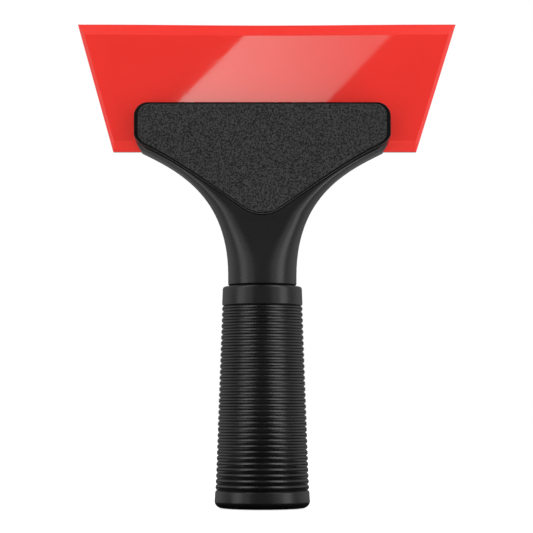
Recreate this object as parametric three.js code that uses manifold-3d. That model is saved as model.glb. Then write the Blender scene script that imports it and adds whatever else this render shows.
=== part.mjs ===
// Squeegee applicator, a hand tool that presses vinyl film flat.
// A bevelled polyurethane blade is clamped between the rear jaw of a one-piece nylon handle and a
// screwed front plate. A ribbed rubber sleeve is stretched over the handle's round core.
// Millimetres. +Z runs up the handle to the blade's working edge, -Y is the front, +X is to the
// right seen from the front, and the origin is the middle of the sleeve's flat butt.
import * as THREE from "three";
import { mergeVertices } from "three/addons/utils/BufferGeometryUtils.js";
import Module from "manifold-3d";

const wasm = await Module();
wasm.setup();

// ---- Driving dimensions -------------------------------------------------------------------

// Rubber grip sleeve: a closed cup with a smooth butt band, a ribbed length and a smooth collar.
const gripLength = 87.0;
const collarWall = 2.1; // rubber outside the core at the collar, and at the butt
const gripButtWall = 5.3;
const buttBandHeight = 6.6;
const buttRounding = 2.8;
const buttEndWall = 3.0;
const collarHeight = 7.1;
const collarRounding = 1.0;
const ribPitchWanted = 2.28;
const ribDepth = 0.8;
const ribFlank = 0.5; // height of each sloping side of a rib

// Handle moulding: round core and neck, flaring into the rear jaw.
const neckRadius = 13.5;
const coreWall = 4.7; // the core is moulded hollow
const neckLength = 28.0; // from the collar to the plate's tip
const neckStraight = 4.4; // the neck starts to flare this far above the collar
const flareBend = 32.5; // how far the flare goes on upwards before it turns outwards
const wingReach = 14.0; // how far the wing's underside runs straight from its corner
const wingSlope = THREE.MathUtils.degToRad(26);
const headHalfWidth = 50.4;
const headHalfDepth = 8.6;
const headCornerRadius = 5.5;
const headEdgeRadius = 3.0; // front and rear edges of the head, seen from above
const jawLipChamfer = 1.6; // rear edge of the jaw's top
const wingCornerRise = 6.6; // the wing's corner turns up from the blade's ledge to the head's side
const wingCornerInset = 2.6;
const barbCount = 3; // rings on the core that lock into the sleeve
const barbWidth = 2.4;
const barbProud = 0.6;

// Front clamp plate.
const plateThickness = 6.1;
const plateEdgeRadius = 0.9;
const plateTipDrop = 8.65; // from the lower screw down to the plate's tip
const plateTipHalfWidth = 8.0;
const plateTipLift = 2.75;
const plateCornerInset = 3.6;
const plateCornerRise = 1.6; // above the blade's ledge
const plateCornerHeight = 4.6; // the corner's height on the plate's side
const plateShoulderRun = 10.0;
const plateShoulderDrop = 4.1;

// Polyurethane blade: a trapezoid, wider at its working edge, bevelled all round its front face.
const bladeTopHalf = 75.0;
const bladeBottomHalf = 60.0;
const bladeHeight = 50.8;
const bladeThickness = 5.0;
const bladeShift = 0.95; // its foot sits a little to the right in its open-ended channel
const bladeLean = 0.8; // and its top edge leans this much further to the right
const bladeInsertion = 18.65; // depth of the channel
const bevelDepth = 2.6;
const bevelTop = 4.4;
const bevelBottom = 4.0;
const bevelSide = 1.5;

// Clamp screws (M4 button head), washers and brass inserts.
const screwRadius = 1.95;
const screwHeadRadius = 3.8;
const screwHeadHeight = 2.2;
const screwEndGap = 0.6; // from the screw's end to the bottom of the insert's hole
const socketAcrossFlats = 2.5;
const socketDepth = 1.3;
const washerRadius = 4.5;
const washerBore = 2.15;
const washerThickness = 0.8;
const counterboreDepth = 4.0;
const insertRadius = 2.8;
const insertLength = 4.0;
const insertFlats = 24; // the knurl
const outerScrewX = 20.0;
const outerScrewDrop = 7.0; // below the blade's lower edge
const lowerScrewDrop = 16.8;

// Clearances.
const slip = 0.1; // faces that are pressed together
const seam = 0.3; // moulded gap round the plate
const sleeveFit = 0.2; // core to sleeve
const screwFit = 0.3; // screw and counterbore holes
const insertFit = 0.1;

// Facets round a full turn, and round a quarter turn of an outline's or section's corner.
const gripFacets = 40;
const holeFacets = 24;
const cornerFacets = 8;

// ---- Sizes that follow from them ----------------------------------------------------------

const jawFaceY = bladeThickness / 2 + slip; // rear wall of the channel
const plateBackY = -bladeThickness / 2 - slip;
const plateFaceY = plateBackY - plateThickness;
const pocketFloorY = plateBackY + slip;
const plateTip = gripLength + neckLength;
const ledgeZ = plateTip + plateTipDrop + lowerScrewDrop; // the blade's lower edge rests here
const headTop = ledgeZ + bladeInsertion;
const sideFootZ = ledgeZ + wingCornerRise;
const lipTop = ledgeZ + plateShoulderDrop; // above this nothing stands in front of the blade
const screwPlaces = [
  ["left", -outerScrewX, ledgeZ - outerScrewDrop],
  ["right", outerScrewX, ledgeZ - outerScrewDrop],
  ["lower", 0, ledgeZ - lowerScrewDrop],
];
const gripButtRadius = neckRadius + gripButtWall;
const gripCollarRadius = neckRadius + collarWall;
const sleeveBore = neckRadius + sleeveFit;
const boreRadius = neckRadius - coreWall;
const coreBottom = buttEndWall + sleeveFit;
const neckBottom = gripLength - 2 * collarRounding; // just inside the collar
const flareStart = gripLength + neckStraight;
const barbHeights = Array.from({ length: barbCount }, (_, i) =>
  THREE.MathUtils.lerp(buttEndWall, gripLength, (i + 1) / (barbCount + 1)),
);
const counterboreFloorY = headHalfDepth - counterboreDepth;
const insertHoleDepth = insertLength + screwEndGap;

// ---- Solids -------------------------------------------------------------------------------

function solid(geometry) {
  const g = geometry.clone();
  g.deleteAttribute("normal");
  g.deleteAttribute("uv");
  const merged = mergeVertices(g, 1e-3);
  return new wasm.Manifold(
    new wasm.Mesh({
      numProp: 3,
      vertProperties: new Float32Array(merged.attributes.position.array),
      triVerts: new Uint32Array(merged.index.array),
    }),
  );
}

function geometryOf(body) {
  const mesh = body.getMesh();
  return new THREE.BufferGeometry()
    .setAttribute("position", new THREE.BufferAttribute(mesh.vertProperties, 3))
    .setIndex(new THREE.BufferAttribute(mesh.triVerts, 1));
}

// A profile of [radius, height] pairs, turned about Z.
function turned(profile, facets) {
  const points = profile.map(([r, z]) => new THREE.Vector2(r, z));
  return new THREE.LatheGeometry(points, facets).rotateX(Math.PI / 2);
}

// A disc or rod along Y, from y0 to y1, at x and z.
function rodY(radius, y0, y1, x, z, facets) {
  return new THREE.CylinderGeometry(radius, radius, y1 - y0, facets).translate(x, (y0 + y1) / 2, z);
}

function box(x0, x1, y0, y1, z0, z1) {
  return new THREE.BoxGeometry(x1 - x0, y1 - y0, z1 - z0).translate(
    (x0 + x1) / 2,
    (y0 + y1) / 2,
    (z0 + z1) / 2,
  );
}

// An outline in X and Z, extruded from y0 back to y1 and grown outwards all round by `grow`.
function slabY(outline, y0, y1, grow) {
  const end = 0.25; // the straight collar that three.js adds at each end
  const slab = new THREE.ExtrudeGeometry(outline, {
    depth: y1 - y0 - 2 * end,
    bevelThickness: end,
    bevelSize: 0,
    bevelOffset: grow,
    bevelSegments: 1,
    curveSegments: cornerFacets,
  });
  return slab.rotateX(Math.PI / 2).translate(0, y1 - end, 0);
}

// ---- Handle moulding ----------------------------------------------------------------------

// Half the moulding's width against height: straight neck, flare, wing corner, side, top corner.
function handleSide() {
  const wing = new THREE.Vector2(headHalfWidth - wingCornerInset, ledgeZ);
  const side = new THREE.Path();
  side.moveTo(neckRadius, flareStart);
  side.bezierCurveTo(
    neckRadius,
    flareStart + flareBend,
    wing.x - wingReach * Math.cos(wingSlope),
    wing.y - wingReach * Math.sin(wingSlope),
    wing.x,
    wing.y,
  );
  side.quadraticCurveTo(headHalfWidth, (ledgeZ + sideFootZ) / 2, headHalfWidth, sideFootZ);
  side.absarc(
    headHalfWidth - headCornerRadius,
    headTop - headCornerRadius,
    headCornerRadius,
    0,
    Math.PI / 2,
    false,
  );
  return side.getPoints(10);
}

// Corner radius and half depth of the moulding's section: round in the neck, a slab in the head.
function sectionAt(z) {
  const toHead = THREE.MathUtils.smoothstep(z, flareStart, plateTip);
  const toSlab = THREE.MathUtils.smoothstep(z, flareStart, ledgeZ);
  const chamfer = Math.max(0, z - (headTop - jawLipChamfer));
  const depth = THREE.MathUtils.lerp(neckRadius, headHalfDepth, toHead) - chamfer;
  const radius = THREE.MathUtils.lerp(neckRadius, headEdgeRadius, toSlab);
  return { depth, radius: Math.min(radius, depth - 0.05) };
}

// Neck and head: a cylinder whose rings are pulled out into rounded rectangles.
function headForm() {
  const base = { x: neckRadius, y: neckBottom };
  const rings = [base, ...handleSide()].filter((p, i, all) => i === 0 || p.y - all[i - 1].y > 0.05);
  const perCorner = cornerFacets + 1;
  const around = 4 * perCorner;
  const form = new THREE.CylinderGeometry(1, 1, 1, around, rings.length - 1);
  const at = form.attributes.position;
  for (let i = 0; i < at.count; i++) {
    const ring = rings[Math.round((at.getY(i) + 0.5) * (rings.length - 1))];
    if (Math.hypot(at.getX(i), at.getZ(i)) < 0.5) {
      at.setXYZ(i, 0, 0, ring.y);
      continue;
    }
    const step = Math.round((Math.atan2(at.getX(i), at.getZ(i)) / (2 * Math.PI)) * around);
    const k = (step + around) % around;
    const corner = Math.floor(k / perCorner);
    const angle = (corner + (k % perCorner) / cornerFacets) * (Math.PI / 2);
    const { depth, radius } = sectionAt(ring.y);
    const flatX = Math.max(ring.x - radius, 0.05);
    const flatY = depth - radius;
    const right = corner === 0 || corner === 3;
    const front = corner >= 2;
    at.setXYZ(
      i,
      (right ? flatX : -flatX) + radius * Math.cos(angle),
      (front ? -flatY : flatY) + radius * Math.sin(angle),
      ring.y,
    );
  }
  return form;
}

// The tube inside the sleeve, with the rings that lock it there, and the start of the neck.
function coreForm() {
  const profile = [
    [0, coreBottom],
    [neckRadius - 1, coreBottom],
    [neckRadius, coreBottom + 1],
  ];
  for (const z of barbHeights) {
    profile.push(
      [neckRadius, z],
      [neckRadius + barbProud, z + barbWidth / 2],
      [neckRadius, z + barbWidth],
    );
  }
  profile.push([neckRadius, neckBottom + 1], [0, neckBottom + 1]);
  return turned(profile, 4 * (cornerFacets + 1));
}

function handleBody() {
  const far = 2 * bladeTopHalf;
  const out = headHalfDepth + 10;
  const bore = turned(
    [
      [0, coreBottom - 1],
      [boreRadius, coreBottom - 1],
      [boreRadius, gripLength - boreRadius],
      [boreRadius / 2, gripLength],
      [0, gripLength],
    ],
    gripFacets,
  );
  let body = solid(headForm())
    .add(solid(coreForm()))
    .subtract(solid(bore))
    .subtract(solid(box(-far, far, plateBackY, jawFaceY, ledgeZ, headTop + 1)))
    .subtract(solid(box(-far, far, -out, jawFaceY, lipTop, headTop + 1)))
    .subtract(solid(slabY(plateOutline(), -out, pocketFloorY, seam)));
  for (const [, x, z] of screwPlaces) {
    body = body
      .subtract(solid(rodY(screwRadius + screwFit, -out, out, x, z, holeFacets)))
      .subtract(solid(rodY(washerRadius + screwFit, counterboreFloorY, out, x, z, holeFacets)));
  }
  return geometryOf(body);
}

// ---- Grip sleeve --------------------------------------------------------------------------

// The sleeve's outer radius tapers evenly from butt to collar.
function gripRadiusAt(z) {
  return THREE.MathUtils.lerp(gripButtRadius, gripCollarRadius, z / gripLength);
}

function gripSleeve() {
  const ribsTop = gripLength - collarHeight;
  const ribsLength = ribsTop - buttBandHeight - 2 * ribFlank;
  const ribs = Math.max(1, Math.round(ribsLength / ribPitchWanted));
  const profile = [[0, 0]];
  for (const turn of [0, 30, 60, 90]) {
    const a = THREE.MathUtils.degToRad(turn);
    profile.push([
      gripButtRadius - buttRounding * (1 - Math.sin(a)),
      buttRounding * (1 - Math.cos(a)),
    ]);
  }
  // A groove lies under each rib, and a last one under the collar.
  for (let i = 0; i <= ribs; i++) {
    const z = buttBandHeight + (i * ribsLength) / ribs;
    profile.push(
      [gripRadiusAt(z), z],
      [gripRadiusAt(z) - ribDepth, z + ribFlank],
      [gripRadiusAt(z), z + 2 * ribFlank],
    );
  }
  profile.push(
    [gripCollarRadius, gripLength - collarRounding],
    [gripCollarRadius - collarRounding * 0.3, gripLength - collarRounding * 0.3],
    [gripCollarRadius - collarRounding, gripLength],
    [sleeveBore, gripLength],
  );
  for (const z of [...barbHeights].reverse()) {
    profile.push(
      [sleeveBore, z + barbWidth + sleeveFit],
      [sleeveBore + barbProud, z + barbWidth / 2],
      [sleeveBore, z - sleeveFit],
    );
  }
  profile.push([sleeveBore, buttEndWall], [0, buttEndWall]);
  return turned(profile, gripFacets);
}

// ---- Clamp plate --------------------------------------------------------------------------

// Seen from the front: square top with round corners, lower edges sloping in to a blunt tip.
function plateOutline() {
  const cornerX = headHalfWidth - plateCornerInset;
  const cornerZ = ledgeZ + plateCornerRise;
  const sideZ = cornerZ + plateCornerHeight;
  const topCurve = headHalfWidth - headCornerRadius;
  const outline = new THREE.Shape();
  outline.moveTo(0, plateTip);
  outline.quadraticCurveTo(plateTipHalfWidth / 2, plateTip, plateTipHalfWidth, plateTip + plateTipLift);
  outline.quadraticCurveTo(
    cornerX - plateShoulderRun,
    cornerZ - plateShoulderDrop,
    cornerX,
    cornerZ,
  );
  outline.quadraticCurveTo(headHalfWidth, (cornerZ + sideZ) / 2, headHalfWidth, sideZ);
  outline.absarc(topCurve, headTop - headCornerRadius, headCornerRadius, 0, Math.PI / 2, false);
  outline.absarc(-topCurve, headTop - headCornerRadius, headCornerRadius, Math.PI / 2, Math.PI, false);
  outline.lineTo(-headHalfWidth, sideZ);
  outline.quadraticCurveTo(-headHalfWidth, (cornerZ + sideZ) / 2, -cornerX, cornerZ);
  outline.quadraticCurveTo(
    plateShoulderRun - cornerX,
    cornerZ - plateShoulderDrop,
    -plateTipHalfWidth,
    plateTip + plateTipLift,
  );
  outline.quadraticCurveTo(-plateTipHalfWidth / 2, plateTip, 0, plateTip);
  return outline;
}

function clampPlate() {
  const slab = new THREE.ExtrudeGeometry(plateOutline(), {
    depth: plateThickness,
    bevelThickness: plateEdgeRadius,
    bevelSize: plateEdgeRadius,
    bevelOffset: -plateEdgeRadius,
    bevelSegments: 2,
    curveSegments: cornerFacets,
  });
  // The bevelled front ends at the plate's face, and the rear bevel is cut away below.
  slab.rotateX(Math.PI / 2).translate(0, plateFaceY + plateThickness + plateEdgeRadius, 0);
  const far = 2 * headHalfWidth;
  let plate = solid(slab).subtract(
    solid(box(-far, far, plateBackY, plateBackY + plateThickness, 0, 2 * headTop)),
  );
  for (const [, x, z] of screwPlaces) {
    const hole = rodY(insertRadius + insertFit, plateBackY - insertHoleDepth, 0, x, z, insertFlats);
    plate = plate.subtract(solid(hole));
  }
  return geometryOf(plate);
}

// ---- Blade --------------------------------------------------------------------------------

// A box whose front end is drawn in, so that a bevel runs round the front face.
function blade() {
  const form = new THREE.BoxGeometry(2, 2, 2, 1, 2, 1);
  const at = form.attributes.position;
  const slope = (bladeTopHalf - bladeBottomHalf) / bladeHeight;
  for (let i = 0; i < at.count; i++) {
    const level = at.getY(i); // -1 front face, 0 back edge of the bevel, 1 rear face
    const isFront = level < -0.5;
    const up = at.getZ(i) > 0;
    const inset = isFront ? (up ? -bevelTop : bevelBottom) : 0;
    const z = (up ? bladeHeight : 0) + inset;
    const half = bladeBottomHalf + slope * z - (isFront ? bevelSide : 0);
    const y = [0, bevelDepth, bladeThickness][Math.round(level) + 1] - bladeThickness / 2;
    const lean = (bladeLean * z) / bladeHeight;
    at.setXYZ(i, Math.sign(at.getX(i)) * half + lean, y, z);
  }
  return form;
}

// ---- Fasteners ----------------------------------------------------------------------------

function washer() {
  const half = washerThickness / 2;
  return turned(
    [
      [washerBore, -half],
      [washerRadius, -half],
      [washerRadius, half],
      [washerBore, half],
      [washerBore, -half],
    ],
    holeFacets,
  ).rotateX(-Math.PI / 2);
}

// Button-head screw along Y, its head's seat at y = 0 and its shank towards -Y.
function screw(length) {
  const form = turned(
    [
      [0, length],
      [screwRadius - 0.4, length],
      [screwRadius, length - 0.4],
      [screwRadius, 0],
      [screwHeadRadius, 0],
      [screwHeadRadius, -screwHeadHeight * 0.25],
      [screwHeadRadius * 0.8, -screwHeadHeight * 0.8],
      [screwHeadRadius * 0.55, -screwHeadHeight],
      [0, -screwHeadHeight],
    ].reverse(),
    holeFacets,
  ).rotateX(Math.PI / 2);
  const socketRadius = socketAcrossFlats / Math.sqrt(3);
  const socket = rodY(socketRadius, screwHeadHeight - socketDepth, screwHeadHeight + 1, 0, 0, 6);
  return geometryOf(solid(form).subtract(solid(socket)));
}

// Heat-set insert along Y, its rear end at y = 0.
function insert() {
  const bore = screwRadius + insertFit;
  return turned(
    [
      [bore, 0],
      [insertRadius, 0],
      [insertRadius, insertLength],
      [bore, insertLength],
      [bore, 0],
    ],
    insertFlats,
  ).rotateX(Math.PI / 2);
}

// ---- Assembly -----------------------------------------------------------------------------

const nylon = { color: 0x2b2b2c, roughness: 0.5, metalness: 0 };
const finishes = {
  nylon,
  texturedNylon: { ...nylon, color: 0x343435, roughness: 0.7 },
  rubber: { color: 0x222223, roughness: 0.65, metalness: 0 },
  polyurethane: { color: 0xe5342d, roughness: 0.2, metalness: 0 },
  steel: { color: 0x9a9c9f, roughness: 0.35, metalness: 1 },
  brass: { color: 0xb08d4f, roughness: 0.4, metalness: 1 },
};

const squeegee = new THREE.Group();
squeegee.name = "squeegee_applicator";

function place(name, geometry, finish, x = 0, y = 0, z = 0) {
  const mesh = new THREE.Mesh(geometry, new THREE.MeshStandardMaterial(finishes[finish]));
  mesh.name = name;
  mesh.position.set(x, y, z);
  squeegee.add(mesh);
}

place("handle_body", handleBody(), "nylon");
place("grip_sleeve", gripSleeve(), "rubber");
place("clamp_plate", clampPlate(), "texturedNylon");
place("blade", blade(), "polyurethane", bladeShift, 0, ledgeZ + slip);

const washerY = counterboreFloorY + slip + washerThickness / 2;
const screwSeatY = washerY + washerThickness / 2 + slip;
const insertY = plateBackY - slip;
const screwLength = screwSeatY - plateBackY + insertHoleDepth - screwEndGap;
for (const [side, x, z] of screwPlaces) {
  place(`clamp_screw_${side}`, screw(screwLength), "steel", x, screwSeatY, z);
  place(`washer_${side}`, washer(), "steel", x, washerY, z);
  place(`threaded_insert_${side}`, insert(), "brass", x, insertY, z);
}

export default squeegee;
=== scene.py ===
# Squeegee applicator, a hand tool that presses vinyl film flat. Nothing here moves a CAD node:
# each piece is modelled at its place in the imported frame, in metres, with Z up the handle, the
# front towards -Y, and the origin in the middle of the sleeve's butt.
import math

import bmesh
import bpy
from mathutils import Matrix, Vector


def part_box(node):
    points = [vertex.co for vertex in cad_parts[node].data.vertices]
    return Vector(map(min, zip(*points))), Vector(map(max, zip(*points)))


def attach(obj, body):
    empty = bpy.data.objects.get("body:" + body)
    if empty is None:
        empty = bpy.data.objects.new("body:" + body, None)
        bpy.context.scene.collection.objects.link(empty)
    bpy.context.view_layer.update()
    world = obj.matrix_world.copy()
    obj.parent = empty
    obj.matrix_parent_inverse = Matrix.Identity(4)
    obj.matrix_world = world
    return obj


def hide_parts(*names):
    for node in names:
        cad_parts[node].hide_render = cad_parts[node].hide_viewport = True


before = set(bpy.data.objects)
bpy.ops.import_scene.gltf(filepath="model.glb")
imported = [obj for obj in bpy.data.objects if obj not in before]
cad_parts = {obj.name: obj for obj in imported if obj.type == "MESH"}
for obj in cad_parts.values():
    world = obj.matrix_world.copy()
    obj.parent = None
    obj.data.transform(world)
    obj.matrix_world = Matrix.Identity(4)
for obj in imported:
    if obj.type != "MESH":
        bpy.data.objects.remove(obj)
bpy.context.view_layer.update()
bpy.ops.object.select_all(action="DESELECT")
mm = 0.001

# ---- Camera -------------------------------------------------------------------------------------
# A long lens at the height of the ribbed grip, square to the tool's front. It looks up a little,
# so that the whole tool fits from the butt to the blade's working edge.
lens_data = bpy.data.cameras.new("camera")
lens_data.lens = 138.8
lens_data.sensor_width = 36
lens_data.shift_y = 0.1
camera = bpy.data.objects.new("camera", lens_data)
bpy.context.scene.collection.objects.link(camera)
camera.location = (1.65 * mm, -810 * mm, 40 * mm)
look_at = Vector((1.65 * mm, 0, 74.0 * mm))
camera.rotation_euler = (look_at - camera.location).to_track_quat("-Z", "Y").to_euler()
bpy.context.scene.camera = camera

# ---- Handle moulding ----------------------------------------------------------------------------
# One injection moulding in black nylon: a hollow round core for the sleeve, a neck that flares
# into two wings, and the rear jaw of the clamp. Its skin has a fine spark-eroded texture, and the
# plate's pocket, the blade's channel and the screws' holes are cored out by the mould.


def pick(kind, test):
    """Select only the vertices, edges or faces of the open piece whose places pass the test."""
    piece = bpy.context.edit_object
    bpy.ops.mesh.select_mode(type={"verts": "VERT", "edges": "EDGE", "faces": "FACE"}[kind])
    mesh = bmesh.from_edit_mesh(piece.data)
    for part in (*mesh.faces, *mesh.edges, *mesh.verts):
        part.select = False
    for part in getattr(mesh, kind):
        corners = [part] if kind == "verts" else part.verts
        if all(test(piece.matrix_world @ corner.co) for corner in corners):
            part.select_set(True)
    bmesh.update_edit_mesh(piece.data)


def start_piece(name):
    """Name the primitive just added, and open it in edit mode with its origin at the frame's."""
    piece = bpy.context.object
    piece.name = piece.data.name = name
    bpy.ops.object.transform_apply(location=True, rotation=True, scale=True)
    bpy.ops.object.mode_set(mode="EDIT")
    return piece


def draw_line(name, places):
    """Draw a chain of edges by hand: one point, extruded from place to place."""
    bpy.ops.mesh.primitive_plane_add(size=mm, location=places[0])
    piece = start_piece(name)
    bpy.ops.mesh.select_mode(type="VERT")
    bpy.ops.mesh.select_all(action="SELECT")
    bpy.ops.mesh.merge(type="CENTER")
    for here, there in zip(places, places[1:]):
        step = Vector(there) - Vector(here)
        bpy.ops.mesh.extrude_region_move(TRANSFORM_OT_translate={"value": step})
    return piece


def finish_shape(piece, turn_out=True):
    """Close the piece's seams, turn its faces outwards and leave edit mode."""
    bpy.ops.mesh.select_all(action="SELECT")
    bpy.ops.mesh.remove_doubles(threshold=0.002 * mm)
    if turn_out:
        bpy.ops.mesh.normals_make_consistent(inside=False)
    bpy.ops.object.mode_set(mode="OBJECT")
    return piece


def turn_up(name, profile, steps, axis=(0, 0, 1), centre=(0, 0, 0)):
    """Spin a profile's points once round an axis, as on a lathe."""
    piece = draw_line(name, profile)
    bpy.ops.mesh.select_all(action="SELECT")
    bpy.ops.mesh.spin(steps=steps, angle=2 * math.pi, center=centre, axis=axis)
    return finish_shape(piece)


def block(name, low, high):
    """A rectangular cutter between two corners."""
    middle = [(a + b) / 2 for a, b in zip(low, high)]
    size = [b - a for a, b in zip(low, high)]
    bpy.ops.mesh.primitive_cube_add(size=1, location=middle, scale=size)
    piece = start_piece(name)
    return finish_shape(piece)


def peg(name, x, z, radius, y0, y1, sides=64):
    """A round cutter along Y."""
    bpy.ops.mesh.primitive_cylinder_add(
        vertices=sides, radius=radius, depth=y1 - y0,
        location=(x, (y0 + y1) / 2, z), rotation=(math.pi / 2, 0, 0),
    )
    piece = start_piece(name)
    return finish_shape(piece)


def use(piece, kind, **settings):
    """Add a modifier to a piece and apply it at once."""
    bpy.ops.object.select_all(action="DESELECT")
    piece.select_set(True)
    bpy.context.view_layer.objects.active = piece
    bpy.ops.object.modifier_add(type=kind)
    modifier = piece.modifiers[-1]
    for setting, value in settings.items():
        setattr(modifier, setting, value)
    bpy.ops.object.modifier_apply(modifier=modifier.name)


def cut_away(piece, cutter):
    """Subtract a cutter from a piece, and throw the cutter away."""
    use(piece, "BOOLEAN", operation="DIFFERENCE", solver="EXACT", object=cutter)
    bpy.data.objects.remove(cutter)


def smooth(piece, angle):
    """Smooth shading between faces that meet at less than an angle, big faces kept flat."""
    bpy.ops.object.select_all(action="DESELECT")
    piece.select_set(True)
    bpy.context.view_layer.objects.active = piece
    bpy.ops.object.shade_smooth_by_angle(angle=math.radians(angle))
    use(piece, "WEIGHTED_NORMAL", keep_sharp=True, weight=60)


def bend(start, control, end, steps):
    """The points of a curve from start to end, drawn towards a control point, without the start."""
    points = []
    for i in range(1, steps + 1):
        t = i / steps
        points.append([
            (1 - t) ** 2 * a + 2 * t * (1 - t) * b + t * t * c
            for a, b, c in zip(start, control, end)
        ])
    return points


def top_corner():
    """The head's rounded top corner, shared by the jaw and the plate."""
    corner = []
    for turn in range(0, 91, 9):
        a = math.radians(turn)
        corner.append([
            head_half - corner_radius * (1 - math.cos(a)),
            head_top - corner_radius * (1 - math.sin(a)),
        ])
    return corner


def plate_blank(name, front, back):
    """The clamp plate's outline, blunt tip down, filled and pulled back into a slab."""
    half = [[0, tip]]
    half += bend(half[-1], (4 * mm, tip), (8 * mm, tip + 2.75 * mm), 6)
    half += bend(half[-1], (36.8 * mm, ledge - 2.5 * mm), (46.8 * mm, ledge + 1.6 * mm), 16)
    half += bend(half[-1], (head_half, ledge + 3.9 * mm), (head_half, ledge + 6.2 * mm), 8)
    half += top_corner()
    whole = half + [[-x, z] for x, z in reversed(half[1:])] + half[:1]
    slab = draw_line(name, [(x, front, z) for x, z in whole])
    bpy.ops.mesh.select_all(action="SELECT")
    bpy.ops.mesh.remove_doubles(threshold=0.002 * mm)
    bpy.ops.mesh.select_all(action="SELECT")
    bpy.ops.mesh.edge_face_add()
    bpy.ops.mesh.extrude_region_move(TRANSFORM_OT_translate={"value": (0, back - front, 0)})
    return slab


# Levels of the moulding, from the core's foot to the jaw's top: height, half width, half depth
# and corner radius.
neck = 13.5 * mm
barbs = (24, 45, 66)
head_depth = 8.6 * mm
head_half = 50.4 * mm
top_rounding = 1.6 * mm
corner_radius = 5.5 * mm
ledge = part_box("blade")[0].z - 0.1 * mm
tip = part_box("clamp_plate")[0].z
head_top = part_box("clamp_plate")[1].z
flare_start = 91.4 * mm
levels = [(3.2 * mm, neck - 0.9 * mm), (3.5 * mm, neck - 0.3 * mm), (4.1 * mm, neck)]
for barb in barbs:
    levels += [
        (barb * mm, neck), ((barb + 1.1) * mm, neck + 0.55 * mm),
        ((barb + 1.3) * mm, neck + 0.55 * mm), ((barb + 2.4) * mm, neck),
    ]
levels += [
    (79 * mm, neck), (83 * mm, neck), (86 * mm, neck), (86.5 * mm, neck - 0.8 * mm),
    (87.1 * mm, neck - 0.7 * mm), (87.8 * mm, neck - 0.05 * mm), (88 * mm, neck), (90 * mm, neck),
]
levels = [(z, r, r, r) for z, r in levels]


def ease(z, start, end):
    """How far a height is from start to end, 0 to 1, easing in and out."""
    t = min(max((z - start) / (end - start), 0), 1)
    return t * t * (3 - 2 * t)


side = [(neck, flare_start)]
wing = (47.8 * mm, ledge)
for i in range(1, 31):
    t = i / 30
    bends = ((1 - t) ** 3, 3 * t * (1 - t) ** 2, 3 * t * t * (1 - t), t ** 3)
    pulls = (side[0], (neck, flare_start + 32.5 * mm), (35.22 * mm, ledge - 6.14 * mm), wing)
    side.append([sum(b * p[k] for b, p in zip(bends, pulls)) for k in (0, 1)])
side += bend(side[-1], (head_half, ledge + 3.3 * mm), (head_half, ledge + 6.6 * mm), 6)
side += top_corner()
for half, z in side:
    corner = neck + (3 * mm - neck) * ease(z, flare_start, ledge)
    rise = max(0, (z - head_top) / top_rounding + 1)
    depth = neck + (head_depth - neck) * ease(z, flare_start, tip)
    depth -= top_rounding * (1 - math.sqrt(1 - min(rise, 1) ** 2)) if rise else 0
    levels.append((z, half, depth, min(corner, depth - 0.1 * mm)))

ring_sides = 96
half_side = (0, 0, math.pi / ring_sides)
bpy.ops.mesh.primitive_circle_add(
    vertices=ring_sides, radius=levels[0][3], location=(0, 0, levels[0][0]), rotation=half_side,
)
handle = start_piece("handle")
for z, half, depth, corner in levels[1:]:
    bpy.ops.mesh.primitive_circle_add(
        vertices=ring_sides, radius=corner, location=(0, 0, z), rotation=half_side,
    )
    for k, out in ((0, half - corner), (1, depth - corner)):
        if out < 0.001 * mm:
            continue
        for way in (1, -1):
            pick("verts", lambda p: abs(p.z - z) < 0.001 * mm and way * p[k] > 0)
            bpy.ops.transform.translate(value=[way * out * (axis == k) for axis in range(3)])
bpy.ops.mesh.select_mode(type="EDGE")
bpy.ops.mesh.select_all(action="SELECT")
bpy.ops.mesh.bridge_edge_loops()
bpy.ops.mesh.select_all(action="SELECT")
bpy.ops.mesh.fill_holes(sides=0)
finish_shape(handle)

screw_places = {
    "left": (-20 * mm, ledge - 7 * mm),
    "right": (20 * mm, ledge - 7 * mm),
    "lower": (0, ledge - 16.8 * mm),
}
cut_away(handle, turn_up("bore", [
    (0, 0, 2 * mm), (8.8 * mm, 0, 2 * mm), (8.8 * mm, 0, 78.2 * mm), (7.6 * mm, 0, 82.4 * mm),
    (4.4 * mm, 0, 85.8 * mm), (0, 0, 87 * mm),
], 48))
channel_half = 2.6 * mm
past_wings, past_front, past_back, past_top = 0.16, -0.03, 0.02, 0.17
far_corner = (past_wings, channel_half, past_top)
cut_away(handle, block("channel", (-past_wings, -channel_half, ledge), far_corner))
cut_away(handle, block("lip", (-past_wings, past_front, ledge + 4.1 * mm), far_corner))
pocket = plate_blank("pocket", past_front, -2.5 * mm)
finish_shape(pocket)
bpy.ops.object.mode_set(mode="EDIT")
bpy.ops.mesh.select_all(action="SELECT")
pocket_gap = 0.3 * mm
bpy.ops.transform.shrink_fatten(value=pocket_gap, use_even_offset=True)
pick("verts", lambda p: p.y > -3 * mm)
bpy.ops.transform.translate(value=(0, -pocket_gap, 0))
finish_shape(pocket)
cut_away(handle, pocket)
for x, z in screw_places.values():
    cut_away(handle, peg("screw_hole", x, z, 2.25 * mm, -past_back, past_back))
    cut_away(handle, peg("counterbore", x, z, 4.8 * mm, 4.6 * mm, past_back))

# The mould leaves the pocket's rim and the ledge's edges a little rounded.
bpy.ops.object.mode_set(mode="EDIT")
bpy.ops.mesh.select_mode(type="EDGE")
bpy.ops.mesh.select_all(action="DESELECT")
mesh = bmesh.from_edit_mesh(handle.data)
for edge in mesh.edges:
    sharp = edge.is_manifold and edge.calc_face_angle() > math.radians(40)
    if sharp and all(v.co.y < -7.5 * mm and v.co.z > tip - 4 * mm for v in edge.verts):
        edge.select_set(True)
bmesh.update_edit_mesh(handle.data)
bpy.ops.mesh.bevel(offset=0.35 * mm, segments=3, profile=0.5, affect="EDGES", clamp_overlap=True)
finish_shape(handle)
smooth(handle, 32)


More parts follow.
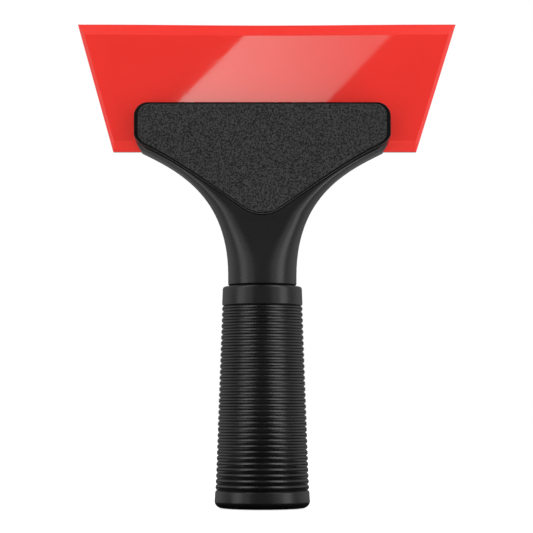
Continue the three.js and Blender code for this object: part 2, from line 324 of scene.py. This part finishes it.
def new_finish(name, **values):
    """A material with a Principled shader whose plain values are set on the shader itself."""
    finish = bpy.data.materials.new(name)
    finish.use_nodes = True
    shader = finish.node_tree.nodes["Principled BSDF"]
    for socket, value in values.items():
        shader.inputs[socket.replace("_", " ")].default_value = value
    return finish


def node(finish, kind, links=(), **settings):
    """Add one node to a finish. Links name its inputs and what feeds them."""
    made = finish.node_tree.nodes.new(kind)
    for setting, value in settings.items():
        if hasattr(made, setting):
            setattr(made, setting, value)
        else:
            made.inputs[setting.replace("_", " ")].default_value = value
    for socket, source in dict(links).items():
        finish.node_tree.links.new(source, made.inputs[socket])
    return made


def feed(finish, socket, source):
    """Join a pattern to one of the shader's inputs."""
    finish.node_tree.links.new(source, finish.node_tree.nodes["Principled BSDF"].inputs[socket])


def spread(finish, source, low, high, to_low, to_high):
    """Stretch a pattern's values from one range to another."""
    return node(
        finish, "ShaderNodeMapRange", {"Value": source},
        From_Min=low, From_Max=high, To_Min=to_low, To_Max=to_high,
    ).outputs["Result"]


def between(finish, amount, dark, light):
    """A colour between two, by a pattern's value."""
    ramp = node(finish, "ShaderNodeValToRGB", {"Fac": amount})
    ramp.color_ramp.elements[0].color = (*dark, 1)
    ramp.color_ramp.elements[1].color = (*light, 1)
    return ramp.outputs["Color"]


def cloud(finish, scale, detail=2, place=None):
    """A cloudy pattern, fixed to the piece unless it is given another place."""
    if place is None:
        place = node(finish, "ShaderNodeTexCoord").outputs["Object"]
    made = node(finish, "ShaderNodeTexNoise", {"Vector": place}, Scale=scale, Detail=detail)
    return made.outputs["Fac"]


def streaks(finish, stretch, detail):
    """A cloudy pattern drawn out along the piece, as tool marks are."""
    place = node(finish, "ShaderNodeTexCoord").outputs["Object"]
    drawn = node(finish, "ShaderNodeMapping", {"Vector": place}, Scale=stretch)
    return cloud(finish, 1, detail, drawn.outputs["Vector"])


def tint(finish, pattern, low, high, dark, light):
    """Colour a finish between two tones, where a pattern runs from low to high."""
    amount = spread(finish, pattern, low, high, 0, 1)
    feed(finish, "Base Color", between(finish, amount, dark, light))


def emboss(finish, height, strength, distance):
    """Fine relief in a finish's skin."""
    skin = node(finish, "ShaderNodeBump", {"Height": height}, Strength=strength, Distance=distance)
    feed(finish, "Normal", skin.outputs["Normal"])


nylon = new_finish("black_nylon", IOR=1.5)
erosion = cloud(nylon, 3200, 3)
tint(nylon, erosion, 0.3, 0.7, (0.0065, 0.0065, 0.007), (0.0105, 0.0105, 0.0108))
feed(nylon, "Roughness", spread(nylon, cloud(nylon, 70, 4), 0.3, 0.7, 0.24, 0.32))
emboss(nylon, erosion, 0.2, 0.03 * mm)

handle.data.materials.append(nylon)
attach(handle, "handle")
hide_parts("handle_body")

# ---- Grip sleeve --------------------------------------------------------------------------------
# A cup of black rubber, stretched over the core and locked by its barbs. It has a smooth band
# round the butt, thirty-two rounded ribs and a smooth collar, and tapers evenly to the collar.
sleeve_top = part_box("grip_sleeve")[1].z
rib_pitch = 2.2594 * mm
rib_depth = 0.42 * mm
first_groove = 7.1 * mm
rib_count = 32
butt_radius, collar_radius = 18.8, 15.6
core_bore = 13.7 * mm
cup_floor = 3.0 * mm
# Each rib from valley to valley: how far up the pitch, and how far in as a share of the depth.
# A fine line runs along the valley and along the crest.
rib_shape = (
    (0, 1.8), (0.1, 0.95), (0.4, 0.05), (0.42, 0), (0.5, 0.8), (0.58, 0), (0.6, 0.05), (0.9, 0.95),
)


def sleeve_radius(z):
    """The even taper from the butt to the collar."""
    return (butt_radius + (collar_radius - butt_radius) * z / sleeve_top) * mm


outside = [(0, 0), (15.2 * mm, 0)]
for turn in (0, 18, 36, 54, 72, 90):
    a = math.radians(turn)
    outside.append(((16.0 + 2.8 * math.sin(a)) * mm, 2.8 * mm * (1 - math.cos(a))))
for z, sunk in ((4.6 * mm, 0), (6.0 * mm, 0), (6.5 * mm, 0.05 * mm), (6.8 * mm, 0.3 * mm)):
    outside.append((sleeve_radius(z) - sunk, z))
for i in range(rib_count):
    z = first_groove + i * rib_pitch
    for up, sunk in rib_shape:
        level = z + up * rib_pitch
        outside.append((sleeve_radius(level) - sunk * rib_depth, level))
top_groove = first_groove + rib_count * rib_pitch
outside.append((sleeve_radius(top_groove) - rib_shape[0][1] * rib_depth, top_groove))
outside += [
    (sleeve_radius(top_groove) - 0.3 * mm, top_groove + 0.25 * mm),
    (sleeve_radius(top_groove) - 0.06 * mm, top_groove + 0.5 * mm),
    (sleeve_radius(80.4 * mm), 80.4 * mm), (15.64 * mm, 85.7 * mm),
    (collar_radius * mm, sleeve_top - 0.9 * mm),
]
for turn in (20, 45, 70, 90):
    a = math.radians(turn)
    outside.append(((14.7 + 0.9 * math.cos(a)) * mm, sleeve_top - 0.9 * mm * (1 - math.sin(a))))
inside = [(13.85 * mm, sleeve_top), (core_bore, sleeve_top - 0.2 * mm)]
for barb in reversed(barbs):
    inside += [
        (core_bore, (barb + 2.6) * mm), (14.3 * mm, (barb + 1.2) * mm),
        (core_bore, (barb - 0.2) * mm),
    ]
inside += [(core_bore, cup_floor), (0, cup_floor)]
sleeve = turn_up("grip", [(r, 0, z) for r, z in outside + inside], 120)
smooth(sleeve, 30)

rubber = new_finish("black_rubber", IOR=1.5)
handling = cloud(rubber, 110, 5)
tint(rubber, handling, 0.35, 0.7, (0.0065, 0.0065, 0.007), (0.0098, 0.0098, 0.0102))
feed(rubber, "Roughness", spread(rubber, handling, 0.3, 0.7, 0.24, 0.32))
emboss(rubber, cloud(rubber, 4200, 2), 0.15, 0.02 * mm)

sleeve.data.materials.append(rubber)
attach(sleeve, "handle")
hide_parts("grip_sleeve")

# ---- Blade --------------------------------------------------------------------------------------
# Cast red polyurethane, a little translucent, cut from strip and ground to a wide bevel round its
# front face. Its lower edge rests on the ledge in the channel, and its long edges sag slightly.
low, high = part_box("blade")
foot_half, edge_half, blade_height = 60 * mm, 75 * mm, 50.8
lean = 0.8 * mm
sag, sag_reach = 0.4 * mm, 70 * mm
bevel_depth = 2.6 * mm
foot_x = (low.x + high.x) / 2 - lean
front = low.y
bpy.ops.mesh.primitive_cube_add(size=1, location=(low + high) / 2, scale=high - low)
blade = start_piece("blade")
pick("verts", lambda p: p.z < (low.z + high.z) / 2)
bpy.ops.transform.resize(
    value=(foot_half / edge_half, 1, 1), center_override=(foot_x + lean, 0, low.z),
)
bpy.ops.transform.translate(value=(-lean, 0, 0))
bpy.ops.mesh.select_all(action="SELECT")
bpy.ops.mesh.bisect(plane_co=(0, front + bevel_depth, 0), plane_no=(0, 1, 0))
for edge_z, half, drop in ((low.z, foot_half, 4.0 * mm), (high.z, edge_half, -4.4 * mm)):
    pick("verts", lambda p: p.y < front + 0.01 * mm and abs(p.z - edge_z) < 0.01 * mm)
    middle_x = foot_x + (0 if edge_z == low.z else lean)
    shrink = (half + drop * 15 / blade_height - 1.5 * mm) / half
    bpy.ops.transform.resize(value=(shrink, 1, 1), center_override=(middle_x, 0, edge_z))
    bpy.ops.transform.translate(value=(lean * drop / (high.z - low.z), 0, drop))
bpy.ops.mesh.select_all(action="SELECT")
bpy.ops.mesh.normals_make_consistent(inside=False)
blade_x = foot_x + lean / 2
for i in range(-11, 12):
    bpy.ops.mesh.select_all(action="SELECT")
    bpy.ops.mesh.bisect(plane_co=(blade_x + i * 5.4 * mm, 0, 0), plane_no=(1, 0, 0))
pick("verts", lambda p: abs(p.x - blade_x) < 0.01 * mm)
bpy.ops.transform.translate(
    value=(0, 0, -sag), use_proportional_edit=True,
    proportional_edit_falloff="SMOOTH", proportional_size=sag_reach,
)
pick("verts", lambda p: p.z < ledge + 0.1 * mm)
bpy.ops.transform.translate(value=(0, 0, sag), use_proportional_edit=False)
bpy.ops.transform.resize(value=(1, 1, 0), center_override=(0, 0, low.z))
finish_shape(blade)
use(
    blade, "BEVEL", width=0.35 * mm, segments=3, limit_method="ANGLE", angle_limit=math.radians(18),
)
smooth(blade, 40)

cast = {
    "IOR": 1.5, "Subsurface_Weight": 0.12, "Subsurface_Radius": (1.0, 0.12, 0.08),
    "Subsurface_Scale": 2.5 * mm,
}
polyurethane = new_finish("red_polyurethane", **cast)
depths = cloud(polyurethane, 28, 3)
tint(polyurethane, depths, 0.3, 0.7, (0.79, 0.0285, 0.0205), (0.83, 0.0315, 0.023))
scuffs = streaks(polyurethane, (20, 20, 900), 4)
feed(polyurethane, "Roughness", spread(polyurethane, scuffs, 0.35, 0.75, 0.02, 0.045))
emboss(polyurethane, cloud(polyurethane, 55, 1), 0.08, 0.02 * mm)

# The bevels' rougher, gritty ground finish is real; their brighter red base colour is painted
# light.
ground_and_lit = new_finish("ground_polyurethane_painted_light", **cast)
grit = streaks(ground_and_lit, (60, 60, 2500), 3)
tint(ground_and_lit, grit, 0.3, 0.7, (0.90, 0.031, 0.021), (0.95, 0.036, 0.026))
feed(ground_and_lit, "Roughness", spread(ground_and_lit, grit, 0.3, 0.7, 0.3, 0.4))
emboss(ground_and_lit, grit, 0.1, 0.02 * mm)

blade.data.materials.append(polyurethane)
blade.data.materials.append(ground_and_lit)
# The long bevels are ground, and their red is painted lighter as painted light; the flat faces and
# the ends keep their cast gloss.
for face in blade.data.polygons:
    face.material_index = 1 if face.normal.y < -0.2 and abs(face.normal.z) > 0.2 else 0
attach(blade, "blade")
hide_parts("blade")

# ---- Clamp plate --------------------------------------------------------------------------------
# The front jaw, a second nylon moulding that drops into the handle's pocket. Its face has a coarse
# speckled texture that stops short of the smooth, rounded edge.
low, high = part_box("clamp_plate")
plate = plate_blank("plate", low.y, high.y)
pick("edges", lambda p: p.y < low.y + 0.01 * mm)
bpy.ops.mesh.bevel(offset=0.4 * mm, segments=4, profile=0.5, affect="EDGES", clamp_overlap=True)
pick("faces", lambda p: p.y < low.y + 0.001 * mm)
bpy.ops.mesh.inset(thickness=0.3 * mm, depth=0, use_even_offset=True)
bpy.ops.transform.resize(value=(0.984, 1, 1), center_override=(0, low.y, 0))
bpy.ops.mesh.inset(thickness=0.12 * mm, depth=-0.1 * mm, use_even_offset=True)
finish_shape(plate)
for x, z in screw_places.values():
    cut_away(plate, peg("insert_hole", x, z, 2.9 * mm, -7.2 * mm, 0))
smooth(plate, 35)

speckled = new_finish("speckled_nylon", IOR=1.36)
place = node(speckled, "ShaderNodeTexCoord").outputs["Object"]
cells = node(speckled, "ShaderNodeTexVoronoi", {"Vector": place}, Scale=1500).outputs["Distance"]
tint(speckled, cloud(speckled, 1600, 2), 0.38, 0.62, (0.003, 0.003, 0.0035), (0.054, 0.054, 0.054))
feed(speckled, "Roughness", spread(speckled, cells, 0, 0.8, 0.48, 0.62))
emboss(speckled, cells, 0.5, 0.12 * mm)

# The rim's polish is its own, but its near-black colour, darker than the nylon it is made of, is
# painted shade.
border = new_finish("polished_border_painted_shade", IOR=1.3, Roughness=0.3)
polish = cloud(border, 300, 3)
painted_shade_blacks = ((0.0012, 0.0012, 0.0014), (0.003, 0.003, 0.0032))
feed(border, "Base Color", between(border, polish, *painted_shade_blacks))
feed(border, "Roughness", spread(border, polish, 0.3, 0.7, 0.22, 0.34))
plate.data.materials.append(border)
plate.data.materials.append(speckled)
plate.data.materials.append(nylon)
# The big front face is speckled, the faces that look down are plain nylon, and the rest is polished
# and painted near-black as painted shade.
for face in plate.data.polygons:
    reach = max(abs(plate.data.vertices[v].co.x) for v in face.vertices)
    inner = reach < head_half - 0.9 * mm
    pad = inner and face.center.y < -8.5 * mm and face.area > 50 * mm ** 2
    face.material_index = 1 if pad else 2 if face.normal.z < -0.1 else 0
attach(plate, "clamp_plate")
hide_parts("clamp_plate")

# ---- Threaded inserts ---------------------------------------------------------------------------
# Turned brass bushes, knurled in two bands and set into the plate's back with heat. They take the
# screws' threads. One is modelled and the other two are copies.
low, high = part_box("threaded_insert_lower")
x, z = screw_places["lower"]
bush = [(2.05, 0), (2.35, 0.0), (2.6, 0.15), (2.62, 1.55), (2.35, 1.7), (2.35, 2.3), (2.62, 2.45),
        (2.62, 3.75), (2.45, 4.0), (2.05, 4.0), (2.05, 0)]
insert = turn_up("insert_lower", [(r * mm, high.y - y * mm, z) for r, y in bush], 48,
                 axis=(0, 1, 0), centre=(x, 0, z))
bpy.ops.object.mode_set(mode="EDIT")
bpy.ops.mesh.select_mode(type="FACE")
knurl_angle = 15
mesh = bmesh.from_edit_mesh(insert.data)
for face in mesh.faces:
    middle = face.calc_center_median() - Vector((x, 0, z))
    turn = math.degrees(math.atan2(middle.z, middle.x)) % knurl_angle
    on_band = math.hypot(middle.x, middle.z) > 2.58 * mm and abs(face.normal.y) < 0.4
    face.select_set(on_band and turn < knurl_angle / 2)
bmesh.update_edit_mesh(insert.data)
bpy.ops.mesh.inset(thickness=0.03 * mm, depth=0.14 * mm, use_individual=True)
finish_shape(insert)
smooth(insert, 30)

brass = new_finish("turned_brass", Metallic=1.0)
tarnish = cloud(brass, 900, 4)
tint(brass, tarnish, 0.35, 0.7, (0.42, 0.26, 0.09), (0.66, 0.45, 0.18))
feed(brass, "Roughness", spread(brass, tarnish, 0.3, 0.7, 0.26, 0.42))
insert.data.materials.append(brass)


def copy_to(piece, name, dx, dz):
    """A copy with its own mesh, moved in edit mode so that its origin stays at the frame's."""
    bpy.ops.object.select_all(action="DESELECT")
    piece.select_set(True)
    bpy.context.view_layer.objects.active = piece
    bpy.ops.object.duplicate(linked=False)
    twin = bpy.context.object
    twin.name = twin.data.name = name
    bpy.ops.object.mode_set(mode="EDIT")
    bpy.ops.mesh.select_all(action="SELECT")
    bpy.ops.transform.translate(value=(dx, 0, dz))
    bpy.ops.object.mode_set(mode="OBJECT")
    return twin


def to_side(side):
    """The step across and up from the lower screw to another."""
    return [a - b for a, b in zip(screw_places[side], screw_places["lower"])]


inserts = {"lower": insert}
for side in ("left", "right"):
    inserts[side] = copy_to(insert, "insert_" + side, *to_side(side))
for side, bush in inserts.items():
    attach(bush, "clamp_plate")
    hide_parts("threaded_insert_" + side)

# ---- Washers ------------------------------------------------------------------------------------
# Stamped steel rings, zinc plated, one in the bottom of each counterbore. Stamping leaves one edge
# rounded and the other sharp.
low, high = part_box("washer_lower")
ring = [(2.15, 0.02), (2.2, 0), (4.38, 0), (4.5, 0.1), (4.5, 0.66), (4.42, 0.77), (4.3, 0.8),
        (2.35, 0.8), (2.2, 0.74), (2.15, 0.6), (2.15, 0.02)]
washer = turn_up("washer_lower", [(x + r * mm, low.y + y * mm, z) for r, y in ring], 72,
                 axis=(0, 1, 0), centre=(x, 0, z))
smooth(washer, 40)

steel = new_finish("zinc_plated_steel", Metallic=1.0)
bloom = cloud(steel, 600, 5)
tint(steel, bloom, 0.35, 0.7, (0.40, 0.41, 0.42), (0.58, 0.59, 0.60))
feed(steel, "Roughness", spread(steel, bloom, 0.3, 0.7, 0.24, 0.4))
emboss(steel, bloom, 0.1, 0.02 * mm)
washer.data.materials.append(steel)

washers = {"lower": washer}
for side in ("left", "right"):
    washers[side] = copy_to(washer, "washer_" + side, *to_side(side))
for side, ring in washers.items():
    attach(ring, "handle")
    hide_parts("washer_" + side)

# ---- Clamp screws -------------------------------------------------------------------------------
# Button-head machine screws, 4 mm, in zinc-plated steel. They pass through the rear jaw into the
# inserts, and draw the plate back on to the blade. The domed head has a hexagon socket.
low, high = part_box("clamp_screw_lower")
seat = high.y - 2.2 * mm
shank, root, head = 1.95 * mm, 1.6 * mm, 3.8 * mm
thread_pitch = 0.7 * mm
shape = [(0, low.y), (1.45 * mm, low.y), (root, low.y + 0.15 * mm)]
crest = low.y + 0.5 * mm
while crest < seat - 1.2 * mm:
    shape += [
        (1.92 * mm, crest), (shank, crest + 0.08 * mm),
        (root, crest + 0.3 * mm), (root, crest + 0.42 * mm),
    ]
    crest += thread_pitch
shape += [
    (shank, seat - 0.8 * mm), (shank, seat),
    (3.62 * mm, seat), (head, seat + 0.15 * mm), (head, seat + 0.35 * mm),
]
for turn in (12, 26, 40, 54, 68, 80):
    a = math.radians(turn)
    shape.append(((1.7 + 2.1 * math.cos(a)) * mm, seat + (0.35 + 1.85 * math.sin(a)) * mm))
shape += [(1.75 * mm, high.y), (0, high.y)]
screw = turn_up("screw_lower", [(x + r, y, z) for r, y in shape], 48,
                axis=(0, 1, 0), centre=(x, 0, z))
socket_radius, socket_depth = 1.443 * mm, 1.3 * mm
cut_away(screw, peg("socket", x, z, socket_radius, high.y - socket_depth, high.y + mm, 6))
smooth(screw, 35)
screw.data.materials.append(steel)

screws = {"lower": screw}
for side in ("left", "right"):
    screws[side] = copy_to(screw, "screw_" + side, *to_side(side))
for side, bolt in screws.items():
    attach(bolt, "screw_" + side)
    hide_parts("clamp_screw_" + side)

# ---- Studio -------------------------------------------------------------------------------------
# A plain pale table, and plain soft light: a tall softbox on each side with a weaker one beside it,
# faint light from above and below, and a bright backdrop whose light grazes the outline. The red
# blade has its own fill, and a slanted card above the camera that shows in its gloss. A black card
# under the butt keeps its rounding dark.
bpy.ops.mesh.primitive_plane_add(size=6, location=(0, 0, -0.3 * mm))
floor = bpy.context.object
floor.name = "floor"
bpy.ops.object.transform_apply(location=True)
table = new_finish("pale_table", Roughness=0.9)
table_shader = table.node_tree.nodes["Principled BSDF"]
table_shader.inputs["Emission Color"].default_value = (1, 1, 1, 1)
fleck = cloud(table, 40)
feed(table, "Base Color", between(table, fleck, (0.80, 0.80, 0.80), (0.84, 0.84, 0.84)))
place = node(table, "ShaderNodeTexCoord").outputs["Object"]
away = node(table, "ShaderNodeVectorMath", {"Vector": place}, operation="LENGTH").outputs["Value"]
feed(table, "Emission Strength", spread(table, away, 0.1, 0.5, 0.8, 1.0))
floor.data.materials.append(table)
floor.visible_diffuse = floor.visible_glossy = floor.visible_shadow = False

bpy.ops.mesh.primitive_circle_add(
    vertices=64, radius=34 * mm, fill_type="NGON", location=(0, 0, -0.6 * mm),
)
shade = bpy.context.object
shade.name = "shade_card"
black = new_finish("black_card", Roughness=0.9)
fleck = cloud(black, 60)
feed(black, "Base Color", between(black, fleck, (0.004, 0.004, 0.004), (0.007, 0.007, 0.007)))
shade.data.materials.append(black)
shade.visible_camera = False


def softbox(name, place, aim, width, height, radiance, lights_only=None):
    """A rectangular soft light, as bright over its whole face as the radiance says."""
    light = bpy.data.lights.new(name, "AREA")
    light.shape = "RECTANGLE"
    light.size, light.size_y = width, height
    light.energy = radiance * math.pi * width * height
    lamp = bpy.data.objects.new(name, light)
    bpy.context.scene.collection.objects.link(lamp)
    lamp.location = place
    lamp.rotation_euler = (Vector(aim) - Vector(place)).to_track_quat("-Z", "Y").to_euler()
    lamp.visible_camera = False
    if lights_only:
        light.use_shadow = False
        lamp.light_linking.receiver_collection = lights_only
    return lamp


red_only = bpy.data.collections.new("red_only")
red_only.objects.link(blade)
head_only = bpy.data.collections.new("head_only")
for piece in (plate, handle):
    head_only.objects.link(piece)
softbox("low_softbox", (0, -0.55, -0.75), (0, 0, 0.14), 1.0, 0.5, 2.2, head_only)
middle_height = 0.09
middle = (0, 0, middle_height)
blade_middle = (0, 0, 0.17)
key_angle, fill_angle = math.radians(63), math.radians(38)


def stand(way, distance, angle, height):
    """A lamp's place, so far from the handle and so far round from the front."""
    return way * distance * math.sin(angle), -distance * math.cos(angle), height


for name, way in (("left", -1), ("right", 1)):
    softbox(name + "_softbox", stand(way, 0.8, key_angle, middle_height), middle,
            0.36, 1.6, 1.55 + 0.15 * way)
    for end, height, radiance in (("upper", 1.2, 2.7), ("under", -1.02, 1.8)):
        softbox(name + "_" + end + "_softbox", stand(way, 0.72, key_angle, height), middle,
                0.5, 0.8, radiance + 0.3 * way)
    softbox(name + "_side_fill", stand(way, 0.9, fill_angle, middle_height), middle,
            0.3, 1.4, 0.55)
    softbox(name + "_blade_fill", stand(way, 0.9, fill_angle, 0.8), blade_middle,
            0.5, 0.4, 1.6, red_only)
    softbox(name + "_low_blade_fill", (way * 0.55, -0.8, -0.2), blade_middle,
            0.5, 0.4, 2.8, red_only)

bpy.ops.object.select_all(action="DESELECT")
card_y = -0.82
card_corners = [(-0.0785, 0.271), (0.040, 0.271), (0.110, 0.346), (-0.0055, 0.346)]
card = draw_line("gloss_card", [(x, card_y, z) for x, z in card_corners + card_corners[:1]])
bpy.ops.mesh.select_all(action="SELECT")
bpy.ops.mesh.remove_doubles(threshold=0.01 * mm)
bpy.ops.mesh.select_all(action="SELECT")
bpy.ops.mesh.edge_face_add()
bpy.ops.object.mode_set(mode="OBJECT")
glow = new_finish("card_glow")
glow_shader = glow.node_tree.nodes["Principled BSDF"]
glow_shader.inputs["Base Color"].default_value = (0, 0, 0, 1)
glow_shader.inputs["Emission Color"].default_value = (0.5, 1, 0.95, 1)
place = node(glow, "ShaderNodeTexCoord").outputs["Object"]
across = node(glow, "ShaderNodeSeparateXYZ", {"Vector": place}).outputs["X"]
feed(glow, "Emission Strength", spread(glow, across, -0.06, 0.08, 5.2, 2.2))
card.data.materials.append(glow)
card.visible_camera = False
card.light_linking.receiver_collection = red_only

world = bpy.data.worlds.new("studio")
world.use_nodes = True
bpy.context.scene.world = world
air = world.node_tree
air.nodes.clear()


def glow_along(source, start, end, low, high):
    """Light that grows along one direction of the room."""
    made = air.nodes.new("ShaderNodeMapRange")
    limits = {"From Min": start, "From Max": end, "To Min": low, "To Max": high}
    for socket, value in limits.items():
        made.inputs[socket].default_value = value
    air.links.new(source, made.inputs["Value"])
    return made.outputs["Result"]


def number(operation, *sources):
    """One sum on values of the room's light."""
    made = air.nodes.new("ShaderNodeMath")
    made.operation = operation
    for i, source in enumerate(sources):
        air.links.new(source, made.inputs[i])
    return made.outputs["Value"]


way = air.nodes.new("ShaderNodeTexCoord")
split = air.nodes.new("ShaderNodeSeparateXYZ")
air.links.new(way.outputs["Generated"], split.inputs["Vector"])
beside = glow_along(split.outputs["Y"], -0.25, 0.25, 0.22, 0.55)
behind = glow_along(split.outputs["Y"], 0.5, 0.95, 0.6, 0.2)
level = glow_along(number("ABSOLUTE", split.outputs["Z"]), 0.75, 0.95, 1.0, 0.1)
room = number("MULTIPLY", number("MINIMUM", beside, behind), level)
seen = air.nodes.new("ShaderNodeLightPath").outputs["Is Camera Ray"]
sky = air.nodes.new("ShaderNodeBackground")
sky.inputs["Color"].default_value = (1, 1, 1, 1)
out = air.nodes.new("ShaderNodeOutputWorld")
air.links.new(number("MAXIMUM", room, seen), sky.inputs["Strength"])
air.links.new(sky.outputs["Background"], out.inputs["Surface"])
bpy.context.scene.view_settings.view_transform = "Standard"
